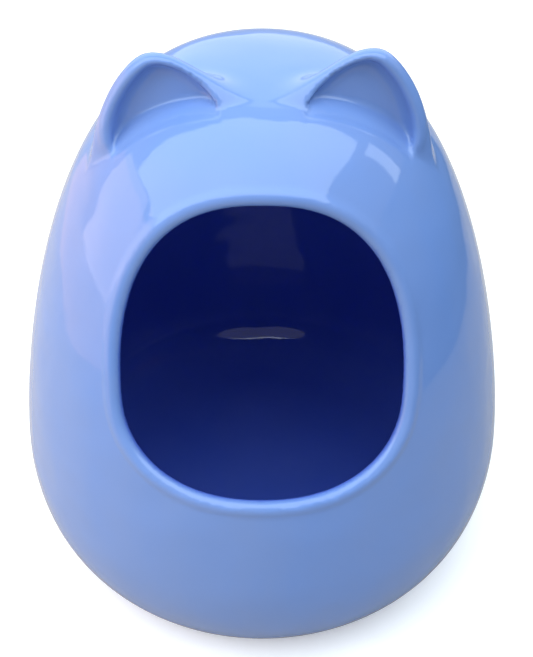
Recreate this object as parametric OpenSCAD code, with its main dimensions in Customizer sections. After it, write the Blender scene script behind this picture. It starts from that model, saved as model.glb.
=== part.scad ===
// Cat cave: a one-piece glazed ceramic house with two ears and a round doorway.
// Millimetres. The origin is the middle of the foot, +Z is up and the doorway faces -Y.

/* [Body] */
// Widest width across the belly
body_w = 400; // [360:2:440]
// Height of the dome, without the ears
dome_h = 436; // [400:2:480]
// Height of the widest ring above the ground
belly_h = 106; // [80:2:130]
// Roundness of the side below the belly, as a superellipse exponent
heel_round = 2.4; // [1.8:0.1:3]
// How slowly the side closes above the belly, as a superellipse exponent
side_taper = 1.32; // [1.2:0.02:1.8]
// Fullness of the shoulder, as a superellipse exponent
shoulder_round = 2.97; // [2.4:0.01:3.4]
// Thickness of the cast wall
wall = 9; // [7:0.5:12]

/* [Foot] */
// Width of the flat foot
foot_w = 264; // [220:2:300]
// Width of the ring that touches the ground
foot_ring_w = 12; // [8:1:30]
// Depth of the hollow inside that ring
foot_hollow = 2; // [1:0.5:4]

/* [Doorway] */
// Clear width of the doorway
door_w = 197; // [150:1:230]
// Height of the doorway's widest line above the ground
door_mid_h = 262; // [240:1:280]
// Clear height of the doorway above its widest line
door_rise = 129; // [90:1:140]
// Clear height of the doorway below its widest line
door_drop = 63; // [40:1:90]
// Squareness of the doorway's top, as a superellipse exponent
door_top_round = 2.25; // [2:0.05:3]
// Squareness of the doorway's sill, as a superellipse exponent
door_sill_round = 2.7; // [2:0.05:3.5]
// How far the rolled lip stands proud of each face of the wall
lip_proud = 1; // [0.6:0.1:3]

/* [Ears] */
// Distance of each ear's root to the side of the middle
ear_side = 66; // [55:1:80]
// Distance of each ear's root in front of the middle
ear_front = 40; // [20:1:50]
// Width of each ear across its root
ear_w = 94; // [70:1:104]
// Height of the right ear above the dome at its root
ear_right_h = 38; // [25:1:60]
// Height of the left ear above the dome at its root
ear_left_h = 35; // [25:1:60]
// Depth of the ear below the dome at its root, down to its widest line
ear_sink = 10; // [6:1:16]
// Thickness of the ear at its rim
ear_rim = 20; // [12:0.5:26]
// Depth of the hollow in the ear's front
ear_scoop = 13; // [4:1:16]
// Extra thickness behind the ear where it runs into the dome
ear_flare = 12; // [4:1:24]
// Distance that the ear's tip leans towards the middle
ear_tip_in = 10; // [0:1:16]
// Outward tilt of the ear
ear_splay = 25; // [0:1:35]
// Outward turn of the ear's front
ear_turn = 12; // [0:1:30]
// Backward lean of the ear
ear_lean = 14; // [0:1:30]

/* [Hidden] */

glaze_blue = "#6E92D2";
body_r = body_w / 2;
foot_r = foot_w / 2;
lip_r = wall / 2 + lip_proud;

heel_steps = 10;       // profile points between foot and belly
side_steps = 26;       // profile points between belly and top
door_steps = 72;       // points around the doorway
lip_sides = 12;        // sides of the rolled lip's section
door_clear = 14;       // how far the doorway's cutter runs past each face of the wall
door_reach = 120;      // how far in front of the body, and behind its front, the cutter ends
ear_rise_round = 1.5;  // exponents of the ear's outline
ear_side_round = 1.6;
ear_layers = 14;       // layers of the ear between its widest line and its tip
ear_crowding = 1.6;     // how much closer the layers lie towards the tip
ear_rows = 9;          // points across the ear's front and across its back
ear_cap = 5;           // points round each side of its rim
ear_root = 26;         // how far the ear's root runs on inside the dome

// Radius of the body's outside at a height above the belly
function body_r_at(z) =
    body_r * pow(1 - pow((z - belly_h) / (dome_h - belly_h), side_taper), 1 / shoulder_round);

// Height of the dome's outside at a distance from the middle
function dome_z_at(r) =
    belly_h + (dome_h - belly_h) * pow(1 - pow(r / body_r, shoulder_round), 1 / side_taper);

// Outline of the body's side: [radius, height] from the foot's edge up to the middle of the top
function heel_point(a) = [
    foot_r + (body_r - foot_r) * sin(a),
    belly_h * (1 - pow(cos(a), 2 / heel_round))
];
function side_point(a) = [
    body_r * pow(cos(a), 2 / shoulder_round),
    belly_h + (dome_h - belly_h) * pow(sin(a), 2 / side_taper)
];
function heel_profile() = [for (i = [0 : heel_steps - 1]) heel_point(90 * i / heel_steps)];
function side_profile() = [for (i = [0 : side_steps - 1]) side_point(90 * i / side_steps)];
function body_profile() = concat(heel_profile(), side_profile(), [[0, dome_h]]);

// Outward direction of the profile at each of its points, as [radius, height]
function heel_normal(p) = unit([
    2 * (p[0] - foot_r) / pow(body_r - foot_r, 2),
    -heel_round * pow((belly_h - p[1]) / belly_h, heel_round - 1) / belly_h
]);
function side_normal(p) = unit([
    shoulder_round * pow(p[0] / body_r, shoulder_round - 1) / body_r,
    side_taper * pow((p[1] - belly_h) / (dome_h - belly_h), side_taper - 1) / (dome_h - belly_h)
]);
function unit(v) = v / norm(v);

// The cavity's outline follows the body's at one wall thickness
function cavity_profile() = concat(
    [[0, wall]],
    [for (p = heel_profile()) if (p[1] >= 0) p - wall * heel_normal(p)],
    [for (p = side_profile()) p - wall * side_normal(p)],
    [[0, dome_h - wall]]
);

// Point on the body's outside behind the front-view point [x, z]
function front_point(x, z) = [x, -sqrt(pow(body_r_at(z), 2) - x * x), z];
function front_normal(p) =
    let (n = side_normal([norm([p[0], p[1]]), p[2]]), r = norm([p[0], p[1]]))
    [n[0] * p[0] / r, n[0] * p[1] / r, n[1]];

// Middle of the rolled lip, on the body's outside, at an angle round the doorway
function signed_pow(v, e) = sign(v) * pow(abs(v), e);
function door_point(a) =
    let (
        up = sin(a) >= 0,
        e = 2 / (up ? door_top_round : door_sill_round),
        h = (up ? door_rise : door_drop) + lip_r
    )
    front_point((door_w / 2 + lip_r) * signed_pow(cos(a), e), door_mid_h + h * signed_pow(sin(a), e));
function door_angle(i) = -360 * i / door_steps;

// A closed skin over rings of equally many points, with a last point at each end
function skin_faces(rings, count, first, last) = concat(
    [for (k = [0 : rings - 2], i = [0 : count - 1])
        let (j = (i + 1) % count, a = k * count, b = a + count)
        each [[a + i, b + i, b + j], [a + i, b + j, a + j]]],
    [for (i = [0 : count - 1]) [first, i, (i + 1) % count]],
    [for (i = [0 : count - 1]) let (a = (rings - 1) * count) [last, a + (i + 1) % count, a + i]]
);

// Solid inside the body's outer face
module body_solid() {
    rotate_extrude($fn = 96) polygon(concat([[0, 0]], body_profile()));
}

// Space inside the wall
module cavity() {
    rotate_extrude($fn = 96) polygon(cavity_profile());
}

// Hollow under the base, which leaves the foot ring
module foot_recess() {
    translate([0, 0, -1]) cylinder(r = foot_r - foot_ring_w, h = foot_hollow + 1, $fn = 96);
}

// Plug that cuts the doorway square to the wall all the way round
module doorway_cutter() {
    points = [for (i = [0 : door_steps - 1]) door_point(door_angle(i))];
    outer = [for (p = points) p + door_clear * front_normal(p)];
    inner = [for (p = points) p - (wall + door_clear) * front_normal(p)];
    ends = [[0, -body_r - door_reach, door_mid_h], [0, door_reach - body_r, door_mid_h]];
    polyhedron(
        concat(outer, inner, ends),
        skin_faces(2, door_steps, 2 * door_steps, 2 * door_steps + 1)
    );
}

// Rolled lip that rounds the wall's cut edge
module lip() {
    rings = [for (i = [0 : door_steps - 1])
        let (
            p = door_point(door_angle(i)),
            n = front_normal(p),
            along = unit(door_point(door_angle(i + 1)) - door_point(door_angle(i - 1))),
            side = cross(along, n),
            middle = p - wall / 2 * n
        )
        [for (k = [0 : lip_sides - 1])
            let (a = 360 * k / lip_sides) middle + lip_r * (cos(a) * n + sin(a) * side)]];
    polyhedron(
        [for (ring = rings) each ring],
        [for (k = [0 : door_steps - 1], i = [0 : lip_sides - 1])
            let (j = (i + 1) % lip_sides, a = k * lip_sides, b = (k + 1) % door_steps * lip_sides)
            each [[a + i, b + i, b + j], [a + i, b + j, a + j]]]
    );
}

// One layer of an ear: a band with a hollow front, round rims and a back that thickens downwards
function ear_layer(t, h) =
    let (
        up = max(t, 0),
        z = t * (h + ear_sink) - ear_sink,
        half = ear_w / 2 * pow(1 - pow(up, ear_rise_round), 1 / ear_side_round),
        top_gap = max(0, 1 - (h - z) / (ear_rim / 2)),
        rim = min(ear_rim / 2 * sqrt(1 - top_gap * top_gap), half),
        reach = half - rim,
        bow = ear_scoop * half / (ear_w / 2),
        flare = ear_flare * pow(1 - up, 2),
        shift = ear_sink / 2 - ear_tip_in * up * up,
        front = [for (i = [0 : ear_rows]) let (q = 2 * i / ear_rows - 1)
            [q * reach, bow * (1 - pow(abs(q), 3)) - rim]],
        right = [for (i = [1 : ear_cap]) let (a = -90 + 180 * i / (ear_cap + 1))
            [reach + rim * cos(a), rim * sin(a)]],
        back = [for (i = [0 : ear_rows]) let (q = 1 - 2 * i / ear_rows)
            [q * reach, flare * (1 - q * q) + rim]],
        left = [for (i = [1 : ear_cap]) let (a = 90 + 180 * i / (ear_cap + 1))
            [rim * cos(a) - reach, rim * sin(a)]]
    )
    [for (p = concat(front, right, back, left)) [p[0] + shift, p[1], z]];

// A right-hand ear, standing on the dome
module ear(h) {
    depth = ear_root / (h + ear_sink);
    steps = concat([-depth], [for (k = [0 : ear_layers - 1]) 1 - pow(1 - k / ear_layers, ear_crowding)]);
    layers = [for (t = steps) ear_layer(t, h)];
    count = len(layers[0]);
    foot = [0, 0, -ear_sink - ear_root];
    tip = [ear_sink / 2 - ear_tip_in, 0, h];
    translate([ear_side, -ear_front, dome_z_at(norm([ear_side, ear_front]))])
        rotate([-ear_lean, 0, 0]) rotate([0, ear_splay, 0]) rotate([0, 0, ear_turn])
            polyhedron(
                concat([for (layer = layers) each layer], [foot, tip]),
                skin_faces(len(layers), count, len(layers) * count, len(layers) * count + 1)
            );
}

// The whole cast shell
module cave() {
    color(glaze_blue) {
        difference() {
            union() {
                body_solid();
                ear(ear_right_h);
                mirror([1, 0, 0]) ear(ear_left_h);
            }
            cavity();
            doorway_cutter();
            foot_recess();
        }
        lip();
    }
}

cave();
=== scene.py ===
"""A glazed ceramic cat cave: one cast shell with two ears and a rolled doorway lip, its inside painted a
darker, deeper blue as painted shade.

Lengths are in metres, in the part's own frame: +Z is up, the doorway faces -Y and the foot stands on z = 0.
"""

import math

import bpy
import numpy as np
from mathutils import Matrix, Vector

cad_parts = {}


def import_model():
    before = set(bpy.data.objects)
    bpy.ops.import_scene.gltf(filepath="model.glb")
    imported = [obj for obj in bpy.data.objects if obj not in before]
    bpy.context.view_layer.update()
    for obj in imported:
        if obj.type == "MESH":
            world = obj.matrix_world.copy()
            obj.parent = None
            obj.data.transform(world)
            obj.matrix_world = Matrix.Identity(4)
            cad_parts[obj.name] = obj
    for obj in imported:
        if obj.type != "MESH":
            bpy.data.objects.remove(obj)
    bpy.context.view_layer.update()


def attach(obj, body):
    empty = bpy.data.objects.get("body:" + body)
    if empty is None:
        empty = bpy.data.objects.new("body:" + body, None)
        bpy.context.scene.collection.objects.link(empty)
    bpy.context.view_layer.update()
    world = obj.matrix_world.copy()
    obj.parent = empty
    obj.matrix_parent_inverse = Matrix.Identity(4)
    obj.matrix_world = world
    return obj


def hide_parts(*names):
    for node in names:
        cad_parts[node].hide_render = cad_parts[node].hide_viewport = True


MM = 0.001
MAIN_NODE = "cave"

# Body, as in the part's own drawing
BODY_R = 200 * MM
DOME_H = 436 * MM
BELLY_H = 106 * MM
HEEL_ROUND = 2.4
SIDE_TAPER = 1.32
SHOULDER_ROUND = 2.97
WALL = 9 * MM
FLOOR_H = 9 * MM
FOOT_R = 132 * MM
FOOT_RING_W = 12 * MM
FOOT_HOLLOW = 2 * MM
FOOT_BLEND = 1.5 * MM
CLAY_LINE = 1.2 * MM

# Doorway
DOOR_HALF_W = 98.5 * MM
DOOR_MID_H = 262 * MM
DOOR_RISE = 129 * MM
DOOR_DROP = 63 * MM
DOOR_TOP_ROUND = 2.25
DOOR_SILL_ROUND = 2.7
LIP_R = 5.5 * MM
LIP_BLEND = 3 * MM

# Ears
EAR_SIDE = 66 * MM
EAR_FRONT = 40 * MM
EAR_HALF_W = 47 * MM
EAR_RIGHT_H = 38 * MM
EAR_LEFT_H = 35 * MM
EAR_SINK = 10 * MM
EAR_RIM_R = 10 * MM
EAR_INSET = 8 * MM
EAR_RECESS_IN = 4 * MM
EAR_SCOOP = 13 * MM
EAR_NICK = 1 * MM
NICK_CLEAR = 2 * MM
NICK_RUN = 8 * MM
NICK_ROUND = 3 * MM
EAR_TIP_IN = 10 * MM
EAR_SPLAY = 25
EAR_TURN = 12
EAR_LEAN = 14
EAR_RISE_ROUND = 1.5
EAR_SIDE_ROUND = 1.6
EAR_ROOT = 60 * MM
CREASE_BLEND = 3 * MM
BACK_BLEND = 22 * MM
RIM_BLEND = 7 * MM
NICK_BLEND = 3 * MM
NICK_TO_RIM = 12 * MM
BOWL_ROUND = 10 * MM
CORNER_ROUND = 48 * MM

# Distance field: the points and steps of its lines and tables, and where it is worked out
BODY_POINTS = 160
EAR_POINTS = 120
LIP_POINTS = 720
LINE_STEP = 1.0 * MM
BODY_FAIR = 8
EAR_FAIR = 4
BODY_MARGIN = 40 * MM
EAR_MARGIN = 60 * MM
EAR_FOOT_MARGIN = 10 * MM
NORMAL_STEP = 0.5 * MM
GRADIENT_STEP = 1.0 * MM
DOOR_SCALE = 80 * MM
LIP_REACH = 22 * MM
WALL_REACH = 10 * MM
EAR_ZONE_H = 350 * MM
EAR_ZONE = 110 * MM
FAR = 1.0
ON_LINE = 1e-12
TINY = 1e-9

# Mesh
CELL = 3.0 * MM
PROJECT_STEPS = 3
MAX_TRIANGLES = 190000
CHUNK = 20000
FLATTEST = 0.1

# Glaze: colours as thin and thick on the clay, and noise as scale and detail
GLAZE_THIN = (0.19, 0.29, 0.57)
GLAZE_THICK = (0.135, 0.27, 0.66)
# Painted shade: the hollow's inside is the same glaze, given darker, deeper blue colours in place of the
# cavity's shade.
INNER_SHADE_FROM = 0.3 * WALL
INNER_SHADE_RUN = 0.5 * WALL
INNER_SHADE_THIN = (0.085, 0.15, 0.62)
INNER_SHADE_THICK = (0.055, 0.12, 0.6)
CLAY_DARK = (0.55, 0.47, 0.38)
CLAY_LIGHT = (0.7, 0.62, 0.52)
GLAZE_IOR = 1.5
GLAZE_ROUGHNESS = 0.06
CLAY_ROUGHNESS = 0.8
POOL_NOISE = (14, 6)
RUN_STRETCH = (1, 1, 0.3)
SPECK_NOISE = (420, 2)
WAVE_NOISE = (20, 1)
WAVE_STRENGTH = 0.2
WAVE_DEPTH = 10 * MM
PEEL_STRENGTH = 0.05
PEEL_DEPTH = 0.5 * MM

# Stage
FLOOR_SIZE = 6
FLOOR_LIFT = 0.3
FLOOR_WHITE = (0.9, 0.9, 0.9)
FLOOR_GREY = (0.5, 0.47, 0.44)
CARD_DARK = (0.08, 0.14, 0.2)
WORLD_LEVEL = 0.48
WORLD_COLOUR = (0.92, 0.96, 1, 1)
STAGE_WHITE = (1, 1, 1, 1)
FLOOR_ROUGHNESS = 0.9
CARD_ROUGHNESS = 0.8
CARD_PLACE = (0.8, -0.1, 0.3)
CARD_SIZE = (0.6, 2.4, 1)
SKY_BLUE = (0.84, 0.94, 1)
# Each lamp: name, place, what it points at, width and height, power and colour
LAMPS = (
    ("sky_front", (-1.2, -0.75, 2.4), (-1.2, -0.75, 0), (6.4, 2.3), 134, SKY_BLUE),
    ("sky_back", (0, 3.0, 2.4), (0, 0, 0.4), (9, 4.2), 128, SKY_BLUE),
    ("warm_wall", (-2.4, 0.1, 0.6), (0, 0, 0.3), (1.3, 1.6), 11, (1, 0.8, 0.74)),
    ("warm_side", (-0.85, 0, 0.3), (0, 0, 0.25), (1.8, 0.7), 3.4, (1, 0.42, 0.16)),
    ("window_right", (2.2, 0.31, 1.5), (0, 0, 0.4), (0.35, 0.9), 2.6, SKY_BLUE),
    ("warm_post", (-2.2, -0.75, 0.6), (0, 0, 0.3), (0.14, 1.5), 2, (1, 0.86, 0.84)),
)

# Camera, in the photograph's own pixels where a name ends in PX
PHOTO_H_PX = 657
FOCAL_PX = 1022.06
SHIFT_PX = 4.5
SENSOR_H = 36
CAMERA_PLACE = (0, -634 * MM, 743.7 * MM)
CAMERA_TARGET = (0, 0, 192.6 * MM)


class DistanceTable:
    """Signed distance to a closed outline, tabled on a grid and read between its points."""

    def __init__(self, outline, low, high, step):
        self.low = np.array(low)
        self.step = step
        counts = np.ceil((np.array(high) - self.low) / step).astype(int) + 1
        axes = [self.low[i] + step * np.arange(counts[i]) for i in range(2)]
        grid = np.stack(np.meshgrid(*axes, indexing="ij"), axis=-1).reshape(-1, 2)
        self.values = signed_distance(grid, outline).reshape(counts)

    def __call__(self, a, b):
        shape = self.values.shape
        fa = np.clip((a - self.low[0]) / self.step, 0, shape[0] - 1.001)
        fb = np.clip((b - self.low[1]) / self.step, 0, shape[1] - 1.001)
        beyond = np.hypot(a - self.low[0] - fa * self.step, b - self.low[1] - fb * self.step)
        ia = fa.astype(int)
        ib = fb.astype(int)
        ta = fa - ia
        tb = fb - ib
        v = self.values
        near = v[ia, ib] * (1 - ta) + v[ia + 1, ib] * ta
        far = v[ia, ib + 1] * (1 - ta) + v[ia + 1, ib + 1] * ta
        return near * (1 - tb) + far * tb + beyond


def nearest_edge(points, line, coarse=10, reach=14):
    """Gap from each point to a closed line's nearest edge, and that edge's number."""
    edge = np.roll(line, -1, axis=0) - line
    length2 = np.maximum((edge ** 2).sum(1), TINY ** 2)
    rough = line[::coarse]
    gaps = np.empty(points.shape)
    numbers = np.empty(len(points), int)
    around = np.arange(-reach, reach + 1)
    for first in range(0, len(points), CHUNK):
        p = points[first:first + CHUNK]
        nearest = ((p[:, None] - rough) ** 2).sum(2).argmin(1) * coarse
        tried = (nearest[:, None] + around) % len(line)
        rel = p[:, None] - line[tried]
        along = np.clip((rel * edge[tried]).sum(2) / length2[tried], 0, 1)
        gap = rel - along[..., None] * edge[tried]
        best = (gap ** 2).sum(2).argmin(1)
        rows = np.arange(len(p))
        gaps[first:first + CHUNK] = gap[rows, best]
        numbers[first:first + CHUNK] = tried[rows, best]
    return gaps, numbers


def signed_distance(points, outline):
    """Distance from each 2-D point to a closed, anticlockwise outline, negative inside."""
    edge = np.roll(outline, -1, axis=0) - outline
    gap, number = nearest_edge(points, outline)
    e = edge[number]
    outward = e[:, 1] * gap[:, 0] - e[:, 0] * gap[:, 1]
    return np.where(outward < -ON_LINE, -1, 1) * np.linalg.norm(gap, axis=1)


def smooth_union(a, b, width):
    """Union of two distances with a fillet of about that width."""
    h = np.maximum(width - np.abs(a - b), 0) / width
    return np.minimum(a, b) - h * h * width / 4


def smooth_meet(a, b, width):
    """Intersection of two distances with an edge rounded by about that width."""
    return -smooth_union(-a, -b, width)


def smooth_step(x):
    """Eases from 0 to 1."""
    x = np.clip(x, 0, 1)
    return x * x * (3 - 2 * x)


def body_radius(z):
    """Radius of the body's outside at heights above the belly."""
    t = np.clip((z - BELLY_H) / (DOME_H - BELLY_H), 0, 1)
    return BODY_R * (1 - t ** SIDE_TAPER) ** (1 / SHOULDER_ROUND)


def body_top(r):
    """Height of the dome's outside at distances from the middle."""
    t = (1 - (r / BODY_R) ** SHOULDER_ROUND) ** (1 / SIDE_TAPER)
    return BELLY_H + (DOME_H - BELLY_H) * t


def body_outline():
    """The body's section, mirrored to a closed outline, with its belly faired."""
    a = np.radians(np.linspace(0, 90, BODY_POINTS))
    heel = np.stack([
        FOOT_R + (BODY_R - FOOT_R) * np.sin(a),
        BELLY_H * (1 - np.cos(a) ** (2 / HEEL_ROUND)),
    ], axis=1)
    side = np.stack([
        BODY_R * np.cos(a) ** (2 / SHOULDER_ROUND),
        BELLY_H + (DOME_H - BELLY_H) * np.sin(a) ** (2 / SIDE_TAPER),
    ], axis=1)
    half = resample(np.concatenate([heel, side[1:]]), LINE_STEP)
    mirrored = half[-2::-1] * [-1, 1]
    half = fair(2 * half[0] - half[:0:-1], half, mirrored, BODY_FAIR)
    return np.concatenate([half, (half * [-1, 1])[-2::-1]])


def resample(points, step):
    """The same line with points at even distances."""
    lengths = np.r_[0, np.cumsum(np.linalg.norm(np.diff(points, axis=0), axis=1))]
    wanted = np.linspace(0, lengths[-1], int(lengths[-1] / step) + 1)
    return np.stack([np.interp(wanted, lengths, points[:, i]) for i in range(2)], axis=1)


def fair(before, points, after, sigma):
    """Evens out the curvature of a line, given the points that go on beyond its two ends."""
    reach = 3 * sigma
    weights = np.exp(-0.5 * (np.arange(-reach, reach + 1) / sigma) ** 2)
    weights /= weights.sum()
    padded = np.concatenate([before[-reach:], points, after[:reach]])
    columns = [np.convolve(padded[:, i], weights, mode="valid") for i in range(2)]
    return np.stack(columns, axis=1)


def ear_outline(height):
    """Front view of an ear in its own plane, from deep in the dome to its tip."""
    t = 1 - (1 - np.linspace(0, 1, EAR_POINTS)) ** 2
    half = EAR_HALF_W * (1 - t ** EAR_RISE_ROUND) ** (1 / EAR_SIDE_ROUND)
    shift = EAR_SINK / 2 - EAR_TIP_IN * t * t
    z = t * (height + EAR_SINK) - EAR_SINK
    right = np.stack([shift + half, z], axis=1)
    left = np.stack([shift - half, z], axis=1)
    foot = np.array([[EAR_SINK / 2 + EAR_HALF_W, -EAR_ROOT], [EAR_SINK / 2 - EAR_HALF_W, -EAR_ROOT]])
    outline = np.concatenate([foot[:1], right, left[-2::-1], foot[1:]])
    outline = resample(np.concatenate([outline, outline[:1]]), LINE_STEP)[:-1]
    return fair(outline, outline, outline, EAR_FAIR)


class Ear:
    """One ear: a rounded leaf with a hollow front, standing on the dome."""

    def __init__(self, side, height):
        self.side = side
        r = math.hypot(EAR_SIDE, EAR_FRONT)
        self.root = np.array([EAR_SIDE, -EAR_FRONT, float(body_top(r))])
        turn = Matrix.Rotation(math.radians(EAR_TURN), 3, "Z")
        splay = Matrix.Rotation(math.radians(EAR_SPLAY), 3, "Y")
        lean = Matrix.Rotation(math.radians(-EAR_LEAN), 3, "X")
        self.axes = np.array(lean @ splay @ turn)
        reach = EAR_HALF_W + EAR_MARGIN
        self.table = DistanceTable(
            ear_outline(height),
            (-reach, -EAR_ROOT - EAR_FOOT_MARGIN),
            (reach, height + EAR_MARGIN),
            LINE_STEP,
        )

    def local(self, p):
        """Points in the ear's own axes: across, thickness, up."""
        q = p * [self.side, 1, 1] - self.root
        return q @ self.axes

    def distance(self, p, body):
        """Distances to the ear's leaf and to the bowl in its front, and the place across its thickness."""
        u, w, v = self.local(p).T
        edge = self.table(u, v)
        leaf = np.hypot(np.maximum(edge + EAR_RIM_R, 0), w) - EAR_RIM_R
        recess = self.table(u + EAR_RECESS_IN, v) + EAR_INSET
        bowl = smooth_meet(recess, w + EAR_RIM_R - EAR_SCOOP, BOWL_ROUND)
        behind = smooth_step((w + EAR_RIM_R + NICK_RUN) / NICK_RUN)
        floor = NICK_CLEAR - (NICK_CLEAR + EAR_NICK) * behind
        bowl = smooth_meet(bowl, floor - body, NICK_ROUND)
        return leaf, bowl, w


class Shell:
    """Signed distance of the whole cast shell."""

    def __init__(self):
        high = (BODY_R + BODY_MARGIN, DOME_H + 2 * BODY_MARGIN)
        self.body = DistanceTable(body_outline(), (0, -BODY_MARGIN), high, LINE_STEP)
        self.ears = [Ear(1, EAR_RIGHT_H), Ear(-1, EAR_LEFT_H)]
        self.lip = self.lip_line()

    def body_distance(self, p):
        """Distance to the body's outside, negative inside it."""
        return self.body(np.hypot(p[:, 0], p[:, 1]), p[:, 2])

    def body_normal(self, p):
        """Direction straight out of the body."""
        r = np.hypot(p[:, 0], p[:, 1])
        h = NORMAL_STEP
        dr = self.body(r + h, p[:, 2]) - self.body(np.maximum(r - h, 0), p[:, 2])
        dz = self.body(r, p[:, 2] + h) - self.body(r, p[:, 2] - h)
        r = np.maximum(r, TINY)
        n = np.stack([dr * p[:, 0] / r, dr * p[:, 1] / r, dz], axis=1)
        return n / np.maximum(np.linalg.norm(n, axis=1), TINY)[:, None]

    def lip_line(self):
        """Middle of the rolled lip, in the middle of the wall."""
        a = np.linspace(0, 2 * np.pi, LIP_POINTS, endpoint=False)
        up = np.sin(a) >= 0
        power = 2 / np.where(up, DOOR_TOP_ROUND, DOOR_SILL_ROUND)
        height = np.where(up, DOOR_RISE, DOOR_DROP) + LIP_R
        x = (DOOR_HALF_W + LIP_R) * np.sign(np.cos(a)) * np.abs(np.cos(a)) ** power
        z = DOOR_MID_H + height * np.sign(np.sin(a)) * np.abs(np.sin(a)) ** power
        y = -np.sqrt(np.maximum(body_radius(z) ** 2 - x * x, 0))
        p = np.stack([x, y, z], axis=1)
        return p - self.body_normal(p) * WALL / 2

    def lip_distance(self, p, outside_door):
        """Distance to the lip's middle line, worked out only near it."""
        result = np.full(len(p), FAR)
        near = (np.abs(outside_door) < LIP_REACH) & (np.abs(self.body_distance(p) + WALL / 2) < LIP_REACH)
        gap, _ = nearest_edge(p[near], self.lip)
        result[near] = np.linalg.norm(gap, axis=1)
        return result

    def outside_door(self, p):
        """How far a point of the wall is outside the doorway's edge, seen square to the wall."""
        body = self.body_distance(p)
        q = p - self.body_normal(p) * (body + WALL / 2)[:, None]
        up = q[:, 2] >= DOOR_MID_H
        power = np.where(up, DOOR_TOP_ROUND, DOOR_SILL_ROUND)
        height = np.where(up, DOOR_RISE, DOOR_DROP) + LIP_R
        fx = (np.abs(q[:, 0]) / (DOOR_HALF_W + LIP_R)) ** power
        fz = (np.abs(q[:, 2] - DOOR_MID_H) / height) ** power
        size = (fx + fz) ** (1 / power)
        distance = (size - 1) * DOOR_SCALE
        return np.where(q[:, 1] < 0, distance, FAR)

    def __call__(self, p):
        """Distance to the whole shell, negative in its wall."""
        body = self.body_distance(p)
        outside = body
        for ear in self.ears:
            leaf, bowl, w = ear.distance(p, body)
            width = CREASE_BLEND + (BACK_BLEND - CREASE_BLEND) * smooth_step((w + EAR_RIM_R) / EAR_RIM_R)
            outside = smooth_union(outside, leaf, width)
            round_edge = NICK_BLEND + (RIM_BLEND - NICK_BLEND) * smooth_step(body / NICK_TO_RIM)
            outside = smooth_meet(outside, -bowl, round_edge)
        cavity = smooth_meet(body + WALL, FLOOR_H - p[:, 2], CORNER_ROUND)
        r = np.hypot(p[:, 0], p[:, 1])
        foot = smooth_meet(r - (FOOT_R - FOOT_RING_W), p[:, 2] - FOOT_HOLLOW, FOOT_BLEND)
        solid = np.maximum(outside, -cavity)
        solid = smooth_meet(solid, -foot, FOOT_BLEND)
        door = self.outside_door(p)
        solid = np.maximum(solid, -door)
        return smooth_union(solid, self.lip_distance(p, door) - LIP_R, LIP_BLEND)

    def near_wall(self, p):
        """The field itself near the wall and the ears, and a large distance elsewhere."""
        near = np.abs(self.body_distance(p) + WALL / 2) < WALL / 2 + WALL_REACH
        near |= (p[:, 2] > EAR_ZONE_H) & (p[:, 1] > -EAR_ZONE) & (p[:, 1] < EAR_ZONE)
        result = np.full(len(p), FAR)
        result[near] = self(p[near])
        return result

    def gradient(self, p):
        """Direction in which the field grows fastest, and how fast."""
        parts = [self(p + step) - self(p - step) for step in np.eye(3) * GRADIENT_STEP]
        return np.stack(parts, axis=1) / (2 * GRADIENT_STEP)


def surface_nets(field, low, counts, cell):
    """One vertex in each cell that the surface crosses, and one quad across each edge that it crosses."""
    axes = [low[i] + cell * np.arange(counts[i]) for i in range(3)]
    grid = np.stack(np.meshgrid(*axes, indexing="ij"), axis=-1)
    values = field.near_wall(grid.reshape(-1, 3)).reshape(counts)
    inside = values < 0
    total = np.zeros(tuple(n - 1 for n in counts) + (3,))
    hits = np.zeros(tuple(n - 1 for n in counts))
    corners = [(i, j, k) for i in (0, 1) for j in (0, 1) for k in (0, 1)]
    for a in corners:
        for axis in range(3):
            if a[axis]:
                continue
            b = tuple(c + (i == axis) for i, c in enumerate(a))
            view_a = tuple(slice(c, n - 1 + c) for c, n in zip(a, counts))
            view_b = tuple(slice(c, n - 1 + c) for c, n in zip(b, counts))
            va = values[view_a]
            vb = values[view_b]
            crossing = inside[view_a] != inside[view_b]
            t = np.where(crossing, va / np.where(crossing, va - vb, 1), 0)
            at = np.zeros(total.shape)
            at[...] = a
            at[..., axis] += t
            total += np.where(crossing[..., None], at, 0)
            hits += crossing
    cells = np.argwhere(hits > 0)
    number = np.full(hits.shape, -1)
    number[tuple(cells.T)] = np.arange(len(cells))
    place = total[tuple(cells.T)] / hits[tuple(cells.T)][:, None]
    vertices = np.array(low) + cell * (cells + place)
    quads = []
    for axis in range(3):
        u, w = [i for i in range(3) if i != axis]
        first = [slice(None)] * 3
        second = [slice(None)] * 3
        first[axis] = slice(0, -1)
        second[axis] = slice(1, None)
        crossing = inside[tuple(first)] != inside[tuple(second)]
        edges = np.argwhere(crossing)
        keep = (edges[:, u] > 0) & (edges[:, w] > 0)
        edges = edges[keep]
        starts_inside = inside[tuple(edges.T)]
        ring = []
        for du, dw in ((1, 1), (0, 1), (0, 0), (1, 0)):
            c = edges.copy()
            c[:, u] -= du
            c[:, w] -= dw
            ring.append(number[tuple(c.T)])
        quad = np.stack(ring, axis=1)
        flip = starts_inside if axis == 1 else ~starts_inside
        quad[flip] = quad[flip][:, ::-1]
        quads.append(quad)
    return vertices, np.concatenate(quads)


def build_shell():
    """The shell's mesh, each vertex moved onto the exact surface, with the surface's own normals."""
    field = Shell()
    margin = 3 * CELL
    low = np.array([-BODY_R - margin, -BODY_R - margin, -margin])
    high = np.array([BODY_R + margin, BODY_R + margin, DOME_H + EAR_RIGHT_H + margin])
    counts = tuple(int(n) for n in np.ceil((high - low) / CELL) + 1)
    vertices, quads = surface_nets(field, low, counts, CELL)
    vertices = onto_surface(field, vertices)
    mesh = bpy.data.meshes.new("cave_glazed")
    mesh.from_pydata(vertices.tolist(), [], quads.tolist())
    cave = bpy.data.objects.new("cave_glazed", mesh)
    bpy.context.collection.objects.link(cave)
    thin_out(cave, MAX_TRIANGLES / (2 * len(quads)))
    return field, cave


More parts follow.
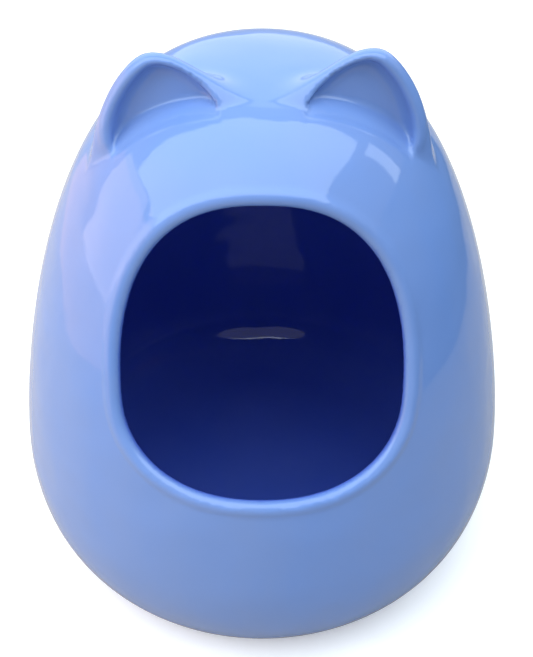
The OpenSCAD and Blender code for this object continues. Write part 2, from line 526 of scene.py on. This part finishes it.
def onto_surface(field, vertices):
    """Moves each vertex along the field's gradient onto the exact surface."""
    for _ in range(PROJECT_STEPS):
        gradient = field.gradient(vertices)
        size2 = np.maximum((gradient ** 2).sum(1), FLATTEST)
        step = -(field(vertices) / size2)[:, None] * gradient
        vertices = vertices + np.clip(step, -CELL / 2, CELL / 2)
    return vertices


def thin_out(cave, ratio):
    """Spends fewer triangles where the surface is even, and more round the ears and the lip."""
    if ratio >= 1:
        return
    decimate = cave.modifiers.new("thin_out", "DECIMATE")
    decimate.ratio = ratio
    bpy.context.view_layer.objects.active = cave
    bpy.ops.object.modifier_apply(modifier=decimate.name)


def paint(mesh, name, values):
    """Stores one value a vertex, for the glaze to read."""
    attribute = mesh.attributes.new(name, "FLOAT", "POINT")
    attribute.data.foreach_set("value", values.astype(np.float32))


def make_cave():
    """The finished shell, with exact normals and the values that its glaze reads."""
    field, cave = build_shell()
    mesh = cave.data
    vertices = np.empty(len(mesh.vertices) * 3)
    mesh.vertices.foreach_get("co", vertices)
    vertices = onto_surface(field, vertices.reshape(-1, 3))
    mesh.vertices.foreach_set("co", vertices.ravel())
    mesh.shade_smooth()
    normals = field.gradient(vertices)
    normals /= np.maximum(np.linalg.norm(normals, axis=1), TINY)[:, None]
    mesh.normals_split_custom_set_from_vertices(normals.tolist())
    # Mask of the wall's inner surface, where painted shade darkens the glaze to a deep blue.
    inner_shade = smooth_step((-field.body_distance(vertices) - INNER_SHADE_FROM) / INNER_SHADE_RUN)
    inner_shade = np.where(vertices[:, 2] < FLOOR_H / 2, 0, inner_shade)
    paint(mesh, "inside", inner_shade)
    paint(mesh, "bare", smooth_step((CLAY_LINE - vertices[:, 2]) / (CLAY_LINE / 2)))
    return cave


def noise(nodes, links, place, scale, detail):
    """A noise texture in the object's own space."""
    texture = nodes.new("ShaderNodeTexNoise")
    texture.inputs["Scale"].default_value = scale
    texture.inputs["Detail"].default_value = detail
    links.new(place, texture.inputs["Vector"])
    return texture


def blend_colours(nodes, links, factor, first, second):
    """A colour between two, each a plain colour or another node's result."""
    mix = nodes.new("ShaderNodeMix")
    mix.data_type = "RGBA"
    links.new(factor, mix.inputs["Factor"])
    for name, colour in (("A", first), ("B", second)):
        if isinstance(colour, tuple):
            mix.inputs[name].default_value = (*colour, 1)
        else:
            links.new(colour, mix.inputs[name])
    return mix.outputs["Result"]


def bump(nodes, links, texture, strength, depth):
    """A relief in the glaze, as high as a noise texture says."""
    relief = nodes.new("ShaderNodeBump")
    relief.inputs["Strength"].default_value = strength
    relief.inputs["Distance"].default_value = depth
    links.new(texture.outputs["Fac"], relief.inputs["Height"])
    return relief


def painted(nodes, name):
    """One of the mesh's own point values, as a factor."""
    value = nodes.new("ShaderNodeAttribute")
    value.attribute_name = name
    return value.outputs["Fac"]


def glaze_material():
    """Glossy periwinkle glaze outside, painted shade that turns the same glaze a darker, deeper blue
    inside, and bare clay where the foot ring stands.
    """
    material = bpy.data.materials.new("blue_glaze")
    material.use_nodes = True
    nodes = material.node_tree.nodes
    links = material.node_tree.links
    shader = nodes["Principled BSDF"]
    shader.inputs["IOR"].default_value = GLAZE_IOR
    place = nodes.new("ShaderNodeTexCoord")
    runs = nodes.new("ShaderNodeMapping")
    runs.inputs["Scale"].default_value = RUN_STRETCH
    links.new(place.outputs["Object"], runs.inputs["Vector"])
    pools = noise(nodes, links, runs.outputs["Vector"], *POOL_NOISE)
    specks = noise(nodes, links, place.outputs["Object"], *SPECK_NOISE)
    outer = blend_colours(nodes, links, pools.outputs["Fac"], GLAZE_THIN, GLAZE_THICK)
    # Painted shade: darker, deeper blue copies of the glaze colours for the inside of the hollow.
    inner_shade = blend_colours(nodes, links, pools.outputs["Fac"], INNER_SHADE_THIN, INNER_SHADE_THICK)
    clay = blend_colours(nodes, links, specks.outputs["Fac"], CLAY_DARK, CLAY_LIGHT)
    bare = painted(nodes, "bare")
    # The inside value mixes the painted shade in over the inner wall.
    glazed = blend_colours(nodes, links, painted(nodes, "inside"), outer, inner_shade)
    links.new(blend_colours(nodes, links, bare, glazed, clay), shader.inputs["Base Color"])
    rough = nodes.new("ShaderNodeMix")
    rough.inputs["A"].default_value = GLAZE_ROUGHNESS
    rough.inputs["B"].default_value = CLAY_ROUGHNESS
    links.new(bare, rough.inputs["Factor"])
    links.new(rough.outputs["Result"], shader.inputs["Roughness"])
    swell = noise(nodes, links, place.outputs["Object"], *WAVE_NOISE)
    waves = bump(nodes, links, swell, WAVE_STRENGTH, WAVE_DEPTH)
    peel = bump(nodes, links, specks, PEEL_STRENGTH, PEEL_DEPTH)
    links.new(waves.outputs["Normal"], peel.inputs["Normal"])
    links.new(peel.outputs["Normal"], shader.inputs["Normal"])
    return material


def plain_material(name, colour, roughness):
    """A material of one colour, for the stage."""
    material = bpy.data.materials.new(name)
    material.use_nodes = True
    shader = material.node_tree.nodes["Principled BSDF"]
    shader.inputs["Base Color"].default_value = (*colour, 1)
    shader.inputs["Roughness"].default_value = roughness
    return material


def make_floor():
    """A floor that is white to the camera and keeps the shadow, and throws back only a grey light."""
    bpy.ops.mesh.primitive_plane_add(size=FLOOR_SIZE, location=(0, 0, 0))
    floor = bpy.context.object
    floor.name = "floor"
    material = plain_material("floor_white", FLOOR_WHITE, FLOOR_ROUGHNESS)
    nodes = material.node_tree.nodes
    links = material.node_tree.links
    shader = nodes["Principled BSDF"]
    path = nodes.new("ShaderNodeLightPath")
    shade = nodes.new("ShaderNodeMix")
    shade.data_type = "RGBA"
    shade.inputs["A"].default_value = (*FLOOR_GREY, 1)
    shade.inputs["B"].default_value = (*FLOOR_WHITE, 1)
    links.new(path.outputs["Is Camera Ray"], shade.inputs["Factor"])
    links.new(shade.outputs["Result"], shader.inputs["Base Color"])
    lift = nodes.new("ShaderNodeMath")
    lift.operation = "MULTIPLY"
    lift.inputs[1].default_value = FLOOR_LIFT
    shader.inputs["Emission Color"].default_value = STAGE_WHITE
    links.new(path.outputs["Is Camera Ray"], lift.inputs[0])
    links.new(lift.outputs[0], shader.inputs["Emission Strength"])
    floor.data.materials.append(material)


def area_lamp(name, place, target, size, power, colour):
    """A flat lamp at a place, turned towards its target."""
    lamp = bpy.data.lights.new(name, "AREA")
    lamp.shape = "RECTANGLE"
    lamp.size, lamp.size_y = size
    lamp.energy = power
    lamp.color = colour
    holder = bpy.data.objects.new(name, lamp)
    holder.location = place
    holder.rotation_euler = (Vector(target) - Vector(place)).to_track_quat("-Z", "Y").to_euler()
    bpy.context.collection.objects.link(holder)


def make_light():
    """A bright overcast sky above and in front, a warm wall to the left and a dim right side."""
    world = bpy.data.worlds.new("studio")
    bpy.context.scene.world = world
    world.use_nodes = True
    nodes = world.node_tree.nodes
    links = world.node_tree.links
    around = nodes["Background"]
    around.inputs["Color"].default_value = WORLD_COLOUR
    around.inputs["Strength"].default_value = WORLD_LEVEL
    white = nodes.new("ShaderNodeBackground")
    white.inputs["Color"].default_value = STAGE_WHITE
    white.inputs["Strength"].default_value = 1
    path = nodes.new("ShaderNodeLightPath")
    seen = nodes.new("ShaderNodeMixShader")
    links.new(path.outputs["Is Camera Ray"], seen.inputs["Fac"])
    links.new(around.outputs["Background"], seen.inputs[1])
    links.new(white.outputs["Background"], seen.inputs[2])
    links.new(seen.outputs["Shader"], nodes["World Output"].inputs["Surface"])
    for lamp in LAMPS:
        area_lamp(*lamp)


def make_card():
    """A dark card on the right, out of the camera's sight, that dims that side as in the photograph."""
    bpy.ops.mesh.primitive_plane_add(size=1, location=CARD_PLACE)
    card = bpy.context.object
    card.name = "card"
    card.rotation_euler = (0, math.radians(-90), 0)
    card.scale = CARD_SIZE
    card.data.materials.append(plain_material("card_dark", CARD_DARK, CARD_ROUGHNESS))
    card.visible_camera = False


def make_camera():
    """The photograph's view: fitted position, direction and focal length."""
    camera = bpy.data.cameras.new("camera")
    camera.sensor_fit = "VERTICAL"
    camera.sensor_height = SENSOR_H
    camera.lens = FOCAL_PX / PHOTO_H_PX * SENSOR_H
    camera.shift_x = SHIFT_PX / PHOTO_H_PX
    camera.shift_y = SHIFT_PX / PHOTO_H_PX
    holder = bpy.data.objects.new("camera", camera)
    target = Vector(CAMERA_TARGET)
    place = Vector(CAMERA_PLACE)
    holder.location = place
    holder.rotation_euler = (target - place).to_track_quat("-Z", "Y").to_euler()
    bpy.context.collection.objects.link(holder)
    bpy.context.scene.camera = holder


def main():
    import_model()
    make_camera()
    cave = make_cave()
    cave.data.materials.append(glaze_material())
    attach(cave, "root")
    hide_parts(MAIN_NODE)
    make_floor()
    make_card()
    make_light()
    bpy.context.scene.view_settings.view_transform = "Standard"


main()
